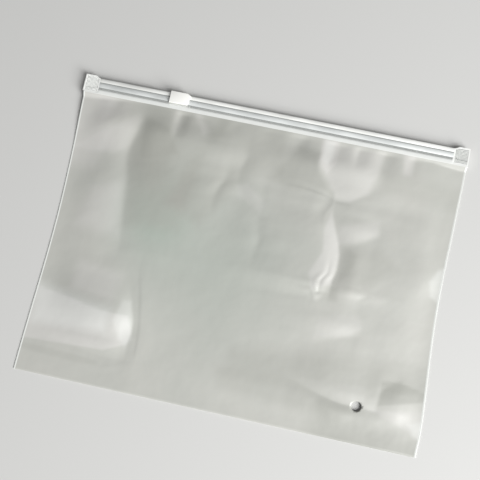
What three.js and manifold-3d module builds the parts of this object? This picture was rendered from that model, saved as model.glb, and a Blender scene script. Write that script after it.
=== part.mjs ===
// A frosted slider-zip bag, shut and nearly empty, lying on its back.
// Millimetres. X runs along the zip, Y from the bottom fold to the zip, Z up from the floor.
// The bag is one web of film folded at the bottom and welded up both sides. Its mouth is
// closed by two extruded rails that hook into each other, with a moulded slider on them.

import * as THREE from "three";
import { mergeVertices } from "three/addons/utils/BufferGeometryUtils.js";
import Module from "manifold-3d";

const wasm = await Module();
wasm.setup();

// Bag
const bagWidth = 280;
const bagHeight = 215;
const filmThickness = 0.12;
const weldThickness = 0.34;
const sideWeldWidth = 1;
const foldWall = 0.6;
const ventHoleRadius = 3.4;
const ventHoleFromRightSide = 46;
const ventHoleFromFold = 24.5;

// Zip rails: heights up the bag
const crushedEndLength = 11;
const crushedEndTopMargin = 1.7;
const weldStripHeight = 3.4;
const lipGrooveHeight = 0.8;
const lockBodyHeight = 3.4;
const gripGrooveHeight = 0.6;
const gripRibHeight = 2.8;

// Zip rails: thicknesses, out from the plane where the two rails meet
const railHalfThickness = 1.5;
const webOuter = 1.05;
const webThickness = 0.4;
const weldStripThickness = 0.3;
const ribGap = 0.9;
const railRound = 0.3;
const hookClearance = 0.12;
const hookHeadWidth = 1.25;
const hookHeadDepth = 0.45;
const hookStemWidth = 0.5;
const jawWall = 0.35;

// Slider
const sliderLength = 14.3;
const sliderTailFromLeftSide = 63.6;
const sliderThickness = 6;
const sliderRoof = 0.8;
const sliderLipHeight = 0.6;
const sliderClearance = 0.15;
const sliderEdgeRound = 0.35;
const noseRake = 0.9;
const noseRakeHeight = 5.4;
const noseChamferLength = 2.4;
const noseChamferDrop = 1.2;
const ploughThickness = 0.55;
const ploughDrop = 2.5;
const ploughLength = 7;
const ploughTaper = 1.1;
const ploughFromTail = 2.4;

// Film over the rails
const weldGap = 0.03;
const filmEdgeToLipGroove = 0.2;
const mouthMargin = 0.3;

// How the film comes down to its edges
const looseGap = 0.5;
const sideFadeReach = 12;
const foldFadeReach = 22;
const zipRampReach = 30;
const zipCornerReach = 4;
const zipFlattening = 0.6;
const creaseSoftness = 0.8;
const creaseEndReach = 7;
const puckerReach = 5;

// Mesh density
const frontColumns = 50;
const lowerRows = 19;
const upperRows = 8;
const upperRowsReach = 42;
const backRampRows = 8;
const sideSteps = 20;
const circleSides = 32;

// Places that follow from the sizes above
const halfWidth = bagWidth / 2;
const railTop = bagHeight - crushedEndTopMargin;
const ribBottom = railTop - gripRibHeight;
const lockBodyTop = ribBottom - gripGrooveHeight;
const lockBodyBottom = lockBodyTop - lockBodyHeight;
const weldStripTop = lockBodyBottom - lipGrooveHeight;
const railBottom = weldStripTop - weldStripHeight;
const filmTop = weldStripTop - filmEdgeToLipGroove;
const mouthBottom = railBottom - mouthMargin;
const zipPlane = sliderThickness / 2;
const webInner = webOuter - webThickness;
const filmSeat = webOuter + weldGap + filmThickness;
const sliderTail = -halfWidth + sliderTailFromLeftSide;
const sliderRoofUnderside = railTop + sliderClearance;
const sliderLipTop = lockBodyBottom - sliderClearance;
const sliderBottom = sliderLipTop - sliderLipHeight;
const sliderTop = sliderRoofUnderside + sliderRoof;

const clamp01 = (value) => Math.min(1, Math.max(0, value));
const smooth = (value) => clamp01(value) ** 2 * (3 - 2 * clamp01(value));
const bump = (value) => Math.exp(-value * value);

// The side welds are drawn in between the corners, and the right one again at its foot.
const leftPull = { depth: 3.4, middle: 108, reach: 78 };
const rightPull = { depth: 3.3, middle: 98, reach: 62 };
const rightFootPull = { depth: 1.2, middle: 0, reach: 12 };

const pull = (y, { depth, middle, reach }) => depth * bump((y - middle) / reach);
const leftSide = (y) => -halfWidth + pull(y, leftPull);
const rightSide = (y) => halfWidth - pull(y, rightPull) - pull(y, rightFootPull);

// Billows of trapped air in the front panel
const billows = [
  { x: 30, y: 84, reachX: 80, reachY: 76, rise: 2.9 },
  { x: -118, y: 125, reachX: 24, reachY: 60, rise: 1 },
  { x: -104, y: 46, reachX: 40, reachY: 26, rise: 1 },
  { x: 118, y: 100, reachX: 26, reachY: 70, rise: 0.7 },
];

// Creases of the front panel. A crease follows a line of points, and beside it the film stands up
// by `rise` at the distance `reach`, on the side of smaller x or y and on that of larger x or y.
// A negative rise makes the line a crest. `share` scales the rise at each point.
const creases = [
  {
    line: [[-88, 98], [-93, 130], [-97, 166], [-91, 200]],
    share: [0.3, 1, 1, 0.8],
    below: [13, 0.9],
    above: [36, 1.7],
  },
  {
    line: [[-136, 176], [-112, 186], [-93, 196]],
    share: [0.3, 1, 1],
    below: [12, -0.8],
    above: [8, -0.2],
  },
  {
    line: [[-62, 34], [-65, 60], [-70, 86]],
    share: [1, 0.8, 0.2],
    below: [9, 1.5],
    above: [20, 0.4],
  },
  {
    line: [[-136, 58], [-104, 56], [-74, 52]],
    share: [1, 1, 0.4],
    below: [18, -0.6],
    above: [12, -0.3],
  },
  {
    line: [[-137, 19], [-100, 18], [-60, 17]],
    share: [1, 1, 0.4],
    below: [5, 0.2],
    above: [16, 0.4],
  },
  {
    line: [[52, 160], [37, 180], [35, 203]],
    share: [0.3, 1, 1],
    below: [22, -1.4],
    above: [13, -1.1],
  },
  {
    line: [[66, 158], [82, 182], [84, 203]],
    share: [0.5, 1, 1],
    below: [24, 0.7],
    above: [10, 0.2],
  },
  {
    line: [[47, 96], [48, 128], [56, 156]],
    share: [1, 1, 0.6],
    below: [9, -0.3],
    above: [8, -0.7],
  },
  {
    line: [[66, 98], [67, 128], [60, 152]],
    share: [1, 1, 0.4],
    below: [9, 0.7],
    above: [10, 0.7],
  },
  {
    line: [[78, 130], [90, 147], [76, 158]],
    share: [0.3, 1, 0.3],
    below: [16, 0.7],
    above: [10, 0.2],
  },
  {
    line: [[74, 60], [87, 76], [76, 90]],
    share: [0.3, 1, 0.3],
    below: [16, 0.6],
    above: [8, 0.2],
  },
  {
    line: [[-20, 163], [-12, 177], [-18, 190]],
    share: [0.5, 1, 0.5],
    below: [18, 0.8],
    above: [12, 0.3],
  },
  {
    line: [[7, 100], [9, 118], [-1, 140], [2, 162]],
    share: [0.3, 1, 0.4, 0.6],
    below: [9, 0.5],
    above: [12, 0.4],
  },
  {
    line: [[45, 35], [72, 28], [97, 21]],
    share: [0.2, 1, 1],
    below: [5, 0.2],
    above: [8, 0.6],
  },
  {
    line: [[104, 26], [120, 31], [139, 36]],
    share: [0.2, 1, 1.3],
    below: [8, -1.1],
    above: [9, -0.7],
  },
  {
    line: [[107, 28], [117, 40], [132, 56]],
    share: [0.6, 1, 0.5],
    below: [7, 0.4],
    above: [10, 0.2],
  },
  {
    line: [[128, 98], [126, 116], [127, 138]],
    share: [0.3, 1, 0.3],
    below: [9, -0.3],
    above: [7, -0.8],
  },
];

// Puckers that hang from the zip: their place along it, their lean and length, and how high the
// film stands beside them
const puckers = [
  { at: -130, lean: -1, length: 17, left: 0.5, right: 0.3 },
  { at: -113, lean: -2, length: 12, left: 0.4, right: 0.3 },
  { at: -64, lean: 0, length: 23, left: 0.9, right: 0.4 },
  { at: -53, lean: 7, length: 17, left: 0.5, right: 0.3 },
  { at: -28, lean: 0, length: 12, left: 0.3, right: 0.2 },
  { at: -2, lean: -1, length: 13, left: 0.3, right: 0.3 },
  { at: 20, lean: -2, length: 17, left: 0.5, right: 0.4 },
  { at: 47, lean: -1, length: 26, left: 0.9, right: 0.5 },
  { at: 64, lean: -1, length: 17, left: 0.4, right: 0.4 },
  { at: 80, lean: 0, length: 18, left: 0.6, right: 0.3 },
  { at: 101, lean: 0, length: 17, left: 0.6, right: 0.3 },
  { at: 121, lean: -2, length: 13, left: 0.4, right: 0.3 },
].map(({ at, lean, length, left, right }) => ({
  line: [[at + lean, mouthBottom - length], [at, mouthBottom + 1]],
  share: [0.4, 1],
  below: [puckerReach, left],
  above: [puckerReach, right],
}));

// The smooth curve through the values at some stations, level past its ends
function curveThrough(stations, values, place) {
  const last = stations.length - 1;
  const slopeAt = (i) => {
    const [from, to] = [Math.max(0, i - 1), Math.min(last, i + 1)];
    return (values[to] - values[from]) / (stations[to] - stations[from]);
  };
  const found = stations.findIndex((station) => station > place);
  const i = Math.min(last, found < 0 ? last : Math.max(1, found)) - 1;
  const span = stations[i + 1] - stations[i];
  const u = clamp01((place - stations[i]) / span);
  const start = values[i] * (1 - smooth(u)) + slopeAt(i) * span * u * (1 - u) ** 2;
  return start + values[i + 1] * smooth(u) - slopeAt(i + 1) * span * u * u * (1 - u);
}

function creaseHeight({ line, share, below, above }, x, y) {
  const [first, last] = [line[0], line[line.length - 1]];
  const runsUp = Math.abs(last[1] - first[1]) > Math.abs(last[0] - first[0]);
  const stations = line.map((point) => point[runsUp ? 1 : 0]);
  const offsets = line.map((point) => point[runsUp ? 0 : 1]);
  const along = runsUp ? y : x;
  const slant = (offsets.at(-1) - offsets[0]) / (stations.at(-1) - stations[0]);
  const side = ((runsUp ? x : y) - curveThrough(stations, offsets, along)) / Math.hypot(1, slant);
  const [reach, rise] = side > 0 ? above : below;
  const past = Math.max(0, stations[0] - along, along - stations.at(-1));
  const u = (Math.hypot(side, creaseSoftness) - creaseSoftness) / reach;
  const profile = u * Math.exp((1 - u * u) / 2);
  return rise * profile * curveThrough(stations, share, along) * bump(past / creaseEndReach);
}

const billowHeight = (b, x, y) => b.rise * bump((x - b.x) / b.reachX) * bump((y - b.y) / b.reachY);
const total = (list, height) => list.reduce((sum, item) => sum + height(item), 0);

// Share of the way up to the rails: 0 where the film lies flat and 1 at the mouth
const zipRamp = (y) => smooth((y - mouthBottom + zipRampReach) / zipRampReach);

// Underside of the back panel: flat on the floor, then drawn up to the rear rail
const backUnderside = (x, y) => (zipPlane - filmSeat) * zipRamp(y);

// Distance between the outer faces of the two panels
function panelGap(x, y) {
  const seat = 2 * filmSeat;
  const fromSide = Math.max(0, Math.min(x - leftSide(y), rightSide(y) - x));
  const inside = 1 - bump(fromSide / sideFadeReach);
  const corner = smooth((y - mouthBottom + zipCornerReach) / zipCornerReach);
  const broad = total(billows, (b) => billowHeight(b, x, y)) + total(creases, (c) => creaseHeight(c, x, y));
  const forms = broad * (1 - zipFlattening * zipRamp(y)) + total(puckers, (p) => creaseHeight(p, x, y));
  const lift = looseGap + Math.max(0, smooth(y / foldFadeReach) * forms);
  const opened = (seat - weldThickness) * Math.max(zipRamp(y) * inside, corner);
  return weldThickness + opened + (1 - corner) * inside * lift;
}

const frontTop = (x, y) => backUnderside(x, y) + panelGap(x, y);

// A closed three.js geometry as a solid that can be cut and joined
function solidOf(geometry) {
  const bare = geometry.clone();
  bare.deleteAttribute("normal");
  bare.deleteAttribute("uv");
  const merged = mergeVertices(bare, 1e-4);
  return new wasm.Manifold(
    new wasm.Mesh({
      numProp: 3,
      vertProperties: merged.attributes.position.array,
      triVerts: new Uint32Array(merged.index.array),
    }),
  );
}

function meshOf(name, solid, material) {
  const found = solid.getMesh();
  const geometry = new THREE.BufferGeometry();
  geometry.setAttribute("position", new THREE.BufferAttribute(found.vertProperties, 3));
  geometry.setIndex(new THREE.BufferAttribute(found.triVerts, 1));
  geometry.computeVertexNormals();
  const mesh = new THREE.Mesh(geometry, material);
  mesh.name = name;
  return mesh;
}

// Evenly spaced numbers, both ends included
function spread(from, to, steps) {
  return Array.from({ length: steps + 1 }, (_, i) => from + ((to - from) * i) / steps);
}

// A solid between two surfaces, given as heights over a grid of columns and rows
function slab(xs, ys, bottom, top) {
  const box = new THREE.BoxGeometry(1, 1, 1, xs.length - 1, ys.length - 1, 1);
  const place = box.attributes.position;
  for (let i = 0; i < place.count; i++) {
    const x = xs[Math.round((place.getX(i) + 0.5) * (xs.length - 1))];
    const y = ys[Math.round((place.getY(i) + 0.5) * (ys.length - 1))];
    place.setXYZ(i, x, y, place.getZ(i) > 0 ? top(x, y) : bottom(x, y));
  }
  return solidOf(box);
}

// An outline given in X and Y, extruded upwards
function prism(outline, bottom, top) {
  const shape = new THREE.Shape(outline.map(([x, y]) => new THREE.Vector2(x, y)));
  const geometry = new THREE.ExtrudeGeometry(shape, { depth: top - bottom, bevelEnabled: false });
  return solidOf(geometry.translate(0, 0, bottom));
}

// A section given in Y and Z, extruded along X
function bar(section, from, to) {
  const shape = new THREE.Shape(section.map(([y, z]) => new THREE.Vector2(y, z)));
  const geometry = new THREE.ExtrudeGeometry(shape, { depth: to - from, bevelEnabled: false });
  geometry.applyMatrix4(new THREE.Matrix4().set(0, 0, 1, from, 1, 0, 0, 0, 0, 1, 0, 0, 0, 0, 0, 1));
  return solidOf(geometry);
}

// The web of film, folded and welded into a pouch, with the vent hole punched through both panels
function filmPouch() {
  const below = -5;
  const above = 25;
  const beyond = 4;
  const columns = spread(-halfWidth - beyond, halfWidth + beyond, frontColumns);
  const topRow = filmTop + beyond;
  const split = mouthBottom - upperRowsReach;
  const closeRows = spread(split, mouthBottom, upperRows).slice(1);
  const frontRows = [...spread(-beyond, split, lowerRows), ...closeRows, topRow];
  const backRows = [-beyond, ...spread(mouthBottom - zipRampReach, mouthBottom, backRampRows), topRow];
  const front = slab(columns, frontRows, () => below, frontTop);
  const back = slab([columns[0], columns.at(-1)], backRows, backUnderside, () => above);

  const edgeSteps = spread(0, filmTop, sideSteps);
  const rightEdge = edgeSteps.map((y) => [rightSide(y), y]);
  const outline = [...rightEdge, ...edgeSteps.reverse().map((y) => [leftSide(y), y])];
  const innerSteps = spread(foldWall, mouthBottom - mouthMargin, sideSteps);
  const inner = [
    ...innerSteps.map((y) => [rightSide(y) - sideWeldWidth, y]),
    [halfWidth + beyond, mouthBottom],
    [halfWidth + beyond, filmTop + beyond],
    [-halfWidth - beyond, filmTop + beyond],
    [-halfWidth - beyond, mouthBottom],
    ...innerSteps.reverse().map((y) => [leftSide(y) + sideWeldWidth, y]),
  ];
  const hollow = front
    .translate([0, 0, -filmThickness])
    .intersect(back.translate([0, 0, filmThickness]))
    .intersect(prism(inner, below, above));
  const punch = new THREE.CylinderGeometry(ventHoleRadius, ventHoleRadius, above - below, circleSides);
  punch.rotateX(Math.PI / 2);
  punch.translate(halfWidth - ventHoleFromRightSide, ventHoleFromFold, (above + below) / 2);
  return front
    .intersect(back)
    .intersect(prism(outline, below, above))
    .subtract(hollow)
    .subtract(solidOf(punch));
}

// Section of a rail's wall: weld strip, web, lock body and grip rib. `side` is 1 for the front
// rail and -1 for the rear one.
function wallSection(side) {
  const ribInner = ribGap / 2;
  return [
    [railBottom, webOuter - weldStripThickness],
    [weldStripTop, webOuter - weldStripThickness],
    [lockBodyBottom, webInner],
    [lockBodyTop, webInner],
    [ribBottom, ribInner],
    [railTop - railRound, ribInner],
    [railTop, ribInner + railRound],
    [railTop, railHalfThickness - railRound],
    [railTop - railRound, railHalfThickness],
    [ribBottom + railRound, railHalfThickness],
    [ribBottom, railHalfThickness - railRound],
    [ribBottom, webOuter],
    [lockBodyTop, webOuter],
    [lockBodyTop, railHalfThickness - railRound],
    [lockBodyTop - railRound, railHalfThickness],
    [lockBodyBottom + railRound, railHalfThickness],
    [lockBodyBottom, railHalfThickness - railRound],
    [lockBodyBottom, webOuter],
    [railBottom, webOuter],
  ].map(([y, z]) => [y, zipPlane + side * z]);
}

// The arrow head of the rear rail's hook meets the jaws of the front rail across the zip plane.
const hookMiddle = (lockBodyBottom + lockBodyTop) / 2;
const wallMiddle = webOuter - webThickness / 2;
const jawTip = zipPlane - webInner + hookClearance;
const headBase = jawTip + jawWall + hookClearance;
const hookTip = headBase + hookHeadDepth;

function hookSection() {
  const half = [
    [hookStemWidth / 2, zipPlane - wallMiddle],
    [hookStemWidth / 2, headBase],
    [hookHeadWidth / 2, headBase],
    [hookStemWidth / 2, hookTip],
  ];
  const other = half.map(([y, z]) => [-y, z]).reverse();
  return [...half, ...other].map(([y, z]) => [hookMiddle + y, z]);
}

// One of the two jaws, above or below the arrow head
function jawSection(side) {
  const inner = hookHeadWidth / 2 + hookClearance;
  const lip = hookStemWidth / 2 + hookClearance;
  return [
    [inner, zipPlane + wallMiddle],
    [inner, jawTip + jawWall],
    [lip, jawTip + jawWall],
    [inner, jawTip],
    [inner + jawWall, jawTip + jawWall],
    [inner + jawWall, zipPlane + wallMiddle],
  ].map(([y, z]) => [hookMiddle + side * y, z]);
}

// A rail with its ends pressed flat against its twin
function zipRail(side, lockSections) {
  const inward = halfWidth - crushedEndLength;
  const faces = [zipPlane, zipPlane + side * webOuter];
  const endSection = [
    [railBottom, faces[0]],
    [bagHeight, faces[0]],
    [bagHeight, faces[1]],
    [railBottom, faces[1]],
  ];
  return [wallSection(side), ...lockSections]
    .map((section) => bar(section, -inward, inward))
    .reduce((whole, piece) => whole.add(piece))
    .add(bar(endSection, -halfWidth, -inward))
    .add(bar(endSection, inward, halfWidth));
}

// The saddle that rides on the rails, its nose to the right. Its lips hook under the lock bodies,
// and its plough runs between the two grip ribs.
function zipSlider() {
  const nose = sliderTail + sliderLength;
  const round = sliderEdgeRound;
  const outline = new THREE.Shape(
    [
      [sliderTail + round, sliderBottom + round],
      [nose - noseRake - round, sliderBottom + round],
      [nose - round, sliderBottom + noseRakeHeight],
      [nose - round, sliderTop - noseChamferDrop - round],
      [nose - noseChamferLength - round, sliderTop - round],
      [sliderTail + round, sliderTop - round],
    ].map(([x, y]) => new THREE.Vector2(x, y)),
  );
  const body = new THREE.ExtrudeGeometry(outline, {
    depth: sliderThickness - 2 * round,
    bevelThickness: round,
    bevelSize: round,
    bevelSegments: 3,
  });
  body.translate(0, 0, round);

  const railRoom = railHalfThickness + sliderClearance;
  const webRoom = webOuter + sliderClearance;
  const channel = [
    [sliderBottom - 1, -webRoom],
    [sliderLipTop, -webRoom],
    [sliderLipTop, -railRoom],
    [sliderRoofUnderside, -railRoom],
    [sliderRoofUnderside, railRoom],
    [sliderLipTop, railRoom],
    [sliderLipTop, webRoom],
    [sliderBottom - 1, webRoom],
  ].map(([y, z]) => [y, zipPlane + z]);

  const start = sliderTail + ploughFromTail;
  const end = start + ploughLength;
  const half = ploughThickness / 2;
  const ploughPlan = new THREE.Shape(
    [
      [start, 0],
      [start + ploughTaper, -half],
      [end - ploughTaper, -half],
      [end, 0],
      [end - ploughTaper, half],
      [start + ploughTaper, half],
    ].map(([x, z]) => new THREE.Vector2(x, -z)),
  );
  const ploughHeight = ploughDrop + sliderRoof / 2;
  const plough = new THREE.ExtrudeGeometry(ploughPlan, { depth: ploughHeight, bevelEnabled: false });
  plough.rotateX(-Math.PI / 2);
  plough.translate(0, sliderRoofUnderside - ploughDrop, zipPlane);

  return solidOf(body)
    .subtract(bar(channel, sliderTail - 1, nose + 1))
    .add(solidOf(plough));
}

const frostedFilm = new THREE.MeshStandardMaterial({ color: 0xc4c6c1, roughness: 0.5, metalness: 0 });
const railPlastic = new THREE.MeshStandardMaterial({ color: 0xdfe2df, roughness: 0.35, metalness: 0 });
const sliderPlastic = new THREE.MeshStandardMaterial({ color: 0xf4f5f0, roughness: 0.35, metalness: 0 });

const bag = new THREE.Group();
bag.add(meshOf("film_pouch", filmPouch(), frostedFilm));
bag.add(meshOf("front_zip_rail", zipRail(1, [jawSection(1), jawSection(-1)]), railPlastic));
bag.add(meshOf("rear_zip_rail", zipRail(-1, [hookSection()]), railPlastic));
bag.add(meshOf("zip_slider", zipSlider(), sliderPlastic));
bag.position.y = -bagHeight / 2;

export default bag;
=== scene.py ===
# %% [markdown]
# A frosted slider-zip bag lies on its back on a pale table, shut and nearly empty. Its film is thin and
# satin, its zip is milky and glossier, and its slider is a small white moulding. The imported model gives
# the true sizes. This script gives each part its fine surface and finish, in metres, in the same frame.

import math

import bmesh
import bpy
import numpy as np
from mathutils import Matrix, Vector


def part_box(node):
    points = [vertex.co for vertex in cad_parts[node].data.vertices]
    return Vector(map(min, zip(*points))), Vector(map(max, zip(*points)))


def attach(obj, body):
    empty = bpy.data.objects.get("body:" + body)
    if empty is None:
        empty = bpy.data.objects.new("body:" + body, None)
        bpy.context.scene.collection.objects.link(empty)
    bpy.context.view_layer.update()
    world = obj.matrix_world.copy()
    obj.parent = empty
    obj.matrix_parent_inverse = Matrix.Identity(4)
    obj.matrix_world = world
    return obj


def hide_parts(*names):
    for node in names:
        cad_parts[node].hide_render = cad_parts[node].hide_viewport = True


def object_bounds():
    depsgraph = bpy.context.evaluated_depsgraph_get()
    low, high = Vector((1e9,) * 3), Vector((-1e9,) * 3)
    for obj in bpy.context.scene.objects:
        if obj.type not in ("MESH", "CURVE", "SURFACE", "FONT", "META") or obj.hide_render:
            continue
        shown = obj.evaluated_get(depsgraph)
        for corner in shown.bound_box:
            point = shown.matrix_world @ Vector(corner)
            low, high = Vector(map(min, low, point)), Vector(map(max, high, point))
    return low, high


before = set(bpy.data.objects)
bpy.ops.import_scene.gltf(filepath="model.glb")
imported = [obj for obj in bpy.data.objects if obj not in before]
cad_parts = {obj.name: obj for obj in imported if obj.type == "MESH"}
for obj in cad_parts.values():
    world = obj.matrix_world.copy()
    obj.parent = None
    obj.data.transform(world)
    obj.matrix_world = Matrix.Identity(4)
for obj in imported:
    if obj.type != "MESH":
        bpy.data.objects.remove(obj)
cad_low, cad_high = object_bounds()
pouch_low, pouch_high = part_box("film_pouch")
rail_low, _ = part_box("front_zip_rail")
slider_low, slider_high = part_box("zip_slider")
MM = 0.001
print("The bag measures", [round(v / MM, 1) for v in cad_high - cad_low], "mm")

# %% [markdown]
# The camera comes first, because every later choice is judged through it. The bag is seen from almost
# straight above, with the zip running down to the right. A place above the table, a point to look at
# and a roll about the line of sight say that more plainly than three angles would.

# %% Place the camera
camera_place = Vector((0.0148, -0.0438, 0.4169))
camera_target = Vector((-0.0058, 0.0114, 0.0))
camera_roll = math.radians(12.02)
focal_pixels = 600.0
frame_pixels = 480.0


def add_camera():
    data = bpy.data.cameras.new("bag_camera")
    data.sensor_width = 36.0
    data.lens = data.sensor_width * focal_pixels / frame_pixels
    data.clip_start = 0.01
    camera = bpy.data.objects.new("bag_camera", data)
    bpy.context.collection.objects.link(camera)
    back = (camera_place - camera_target).normalized()
    top = Vector((-math.sin(camera_roll), math.cos(camera_roll), 0.0))
    right = top.cross(back).normalized()
    turn = Matrix((right, back.cross(right), back)).transposed()
    camera.matrix_world = Matrix.Translation(camera_place) @ turn.to_4x4()
    bpy.context.scene.camera = camera
    return camera


camera = add_camera()
print("Lens", round(camera.data.lens, 1), "mm")

# %% [markdown]
# A material here is one Principled shader with a little procedural variation under it. A short helper
# builds the shader, and another adds a noise that reads Object coordinates, so that the pattern keeps
# its real size in metres and never slides. Colours are given as they look on a screen, from 0 to 255.

# %% Helpers for materials


def screen_colour(red, green, blue):
    linear = [((c / 255 + 0.055) / 1.055) ** 2.4 for c in (red, green, blue)]
    return (*linear, 1.0)


def new_material(name, colour, roughness):
    material = bpy.data.materials.new(name)
    material.use_nodes = True
    shader = material.node_tree.nodes["Principled BSDF"]
    shader.inputs["Base Color"].default_value = colour
    shader.inputs["Roughness"].default_value = roughness
    return material, material.node_tree, shader


def object_noise(tree, scale, detail=2.0, stretch=(1, 1, 1)):
    place = tree.nodes.new("ShaderNodeTexCoord")
    mapping = tree.nodes.new("ShaderNodeMapping")
    noise = tree.nodes.new("ShaderNodeTexNoise")
    mapping.inputs["Scale"].default_value = stretch
    noise.inputs["Scale"].default_value = scale
    noise.inputs["Detail"].default_value = detail
    tree.links.new(place.outputs["Object"], mapping.inputs["Vector"])
    tree.links.new(mapping.outputs["Vector"], noise.inputs["Vector"])
    return noise.outputs["Fac"]


def add_bump(tree, shader, height, strength, distance):
    bump = tree.nodes.new("ShaderNodeBump")
    bump.inputs["Strength"].default_value = strength
    bump.inputs["Distance"].default_value = distance
    tree.links.new(height, bump.inputs["Height"])
    tree.links.new(bump.outputs["Normal"], shader.inputs["Normal"])
    return bump


def tint_between(tree, factor, low, high, first, second):
    ramp = tree.nodes.new("ShaderNodeValToRGB")
    ramp.color_ramp.elements[0].position = low
    ramp.color_ramp.elements[1].position = high
    ramp.color_ramp.elements[0].color = first
    ramp.color_ramp.elements[1].color = second
    tree.links.new(factor, ramp.inputs["Fac"])
    return ramp.outputs["Color"]


print("A screen grey of 188 is", round(screen_colour(188, 188, 188)[0], 3), "in linear light")

# %% [markdown]
# The table is plain and pale, and the light is soft. One large lamp stands low at the lower right, so
# that it rakes across the film and draws every crease, as a window does. A smaller one above it rounds
# off its shading, and the world fills the shadows.

# %% Table and light
table_height = -0.0001
table_side = 3.0


def add_table():
    mesh = bpy.data.meshes.new("table")
    shape = bmesh.new()
    bmesh.ops.create_grid(shape, x_segments=1, y_segments=1, size=table_side / 2)
    bmesh.ops.translate(shape, verts=shape.verts, vec=(0, 0, table_height))
    shape.to_mesh(mesh)
    shape.free()
    table = bpy.data.objects.new("table", mesh)
    bpy.context.collection.objects.link(table)
    material, tree, shader = new_material("pale_table", screen_colour(207, 207, 205), 0.7)
    grain = object_noise(tree, scale=900.0)
    add_bump(tree, shader, grain, strength=0.05, distance=0.0002)
    mesh.materials.append(material)


def add_lamp(name, place, side, power):
    """A square soft lamp that faces the middle of the table."""
    data = bpy.data.lights.new(name, "AREA")
    data.shape = "SQUARE"
    data.size = side
    data.energy = power
    lamp = bpy.data.objects.new(name, data)
    bpy.context.collection.objects.link(lamp)
    lamp.location = place
    lamp.rotation_mode = "QUATERNION"
    lamp.rotation_quaternion = (-Vector(place)).to_track_quat("-Z", "Y")
    return lamp


def set_world(level):
    world = bpy.data.worlds.new("soft_room")
    world.use_nodes = True
    back = world.node_tree.nodes["Background"]
    back.inputs["Color"].default_value = (level, level, level, 1.0)
    back.inputs["Strength"].default_value = 1.0
    bpy.context.scene.world = world


add_table()
for lamp in (
    add_lamp("window_lamp", place=(1.90, -1.15, 1.14), side=1.2, power=80.0),
    add_lamp("upper_window_lamp", place=(1.24, -0.81, 1.75), side=0.7, power=22.0),
):
    print(lamp.name, "stands", round(lamp.location.length, 2), "m from the bag")
set_world(level=0.22)
bpy.context.scene.view_settings.view_transform = "Standard"

# %% [markdown]
# The film's relief is a height field over the bag, worked out in millimetres: x from the middle of the
# zip, y up from the bottom fold. It could be sculpted by hand, but a sum of a few named forms can be
# read and changed. They are all built of two curves: a smooth step and a bell. A hill is a bell with a
# height, a middle and a reach. Hills also draw in the bag's sides, which the trapped air pulls inwards.

# %% Measures and curves of the film, in millimetres
half_width = cad_high.x / MM
fold_line = pouch_low.y / MM
mouth_drop = 0.3
mouth_bottom = rail_low.y / MM - fold_line - mouth_drop
film_top = pouch_high.y / MM - fold_line
zip_plane = (slider_low.z + slider_high.z) / 2 / MM


def smooth(value):
    value = np.clip(value, 0, 1)
    return value * value * (3 - 2 * value)


def bump(value):
    return np.exp(-(value**2))


def hill(place, height, middle, reach):
    return height * bump((place - middle) / reach)


def left_side(y):
    return -half_width + hill(y, height=3.4, middle=108, reach=78)


def right_side(y):
    drawn_in = hill(y, height=3.3, middle=98, reach=62)
    return half_width - drawn_in - hill(y, height=1.2, middle=0, reach=12)


print("From fold to zip", round(mouth_bottom, 1), "mm, width there", round(2 * half_width, 1), "mm")
print("Width at half height", round(right_side(mouth_bottom / 2) - left_side(mouth_bottom / 2), 1), "mm")

# %% [markdown]
# Billows are the low smooth hills that the trapped air pushes up. Each has a top, a rise, and a reach
# to every side, so that it can be steep towards the window and long behind. Some stand for a slope that
# faces the window, more than for a hill of their own.

# %% Billows
# Top, reach to the left and right, reach down and up, and rise
billows = [
    ((30, 84), (80, 70), (76, 76), 2.7),
    ((-60, 168), (32, 34), (50, 30), 2.4),
    ((20, 176), (22, 18), (24, 20), 1.2),
    ((118, 100), (26, 26), (70, 70), 0.8),
    ((130, 31), (18, 12), (12, 18), 0.1),
    ((134, 121), (18, 6), (16, 11), 0.9),
    # Slopes that face the window
    ((-108, 141), (44, 26), (40, 17), 1.3),
    ((-108, 185), (40, 30), (22, 24), 1.9),
    ((-86, 55), (44, 34), (25, 36), 2.1),
    ((40, 182), (20, 20), (24, 20), 1.9),
    ((62, 186), (24, 20), (22, 16), 1.8),
    ((62, 152), (34, 24), (18, 16), 1.6),
    ((62, 82), (38, 24), (18, 18), 1.1),
]


def billow_height(one, x, y):
    at, across, along, rise = one
    reach_x = np.where(x > at[0], across[1], across[0])
    reach_y = np.where(y > at[1], along[1], along[0])
    return rise * bump((x - at[0]) / reach_x) * bump((y - at[1]) / reach_y)


print("Billows:", len(billows))

# %% [markdown]
# A crease follows a line of points, and the film stands up beside it and falls back to it, so light
# catches one flank and leaves the other dark. A negative rise turns the line into a crest. The line is
# drawn as a smooth curve through its points, along x or along y, whichever it runs further in.

# %% Creases


def crease(line, share, before, after, softness=0.8, tail=1.5):
    """A line of points, its share of the rise at each, and (reach, rise) on the side of smaller and of
    larger x or y. Softness rounds the line, and tail is how slowly the rise fades past its reach."""
    return line, share, before, after, softness, tail


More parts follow.
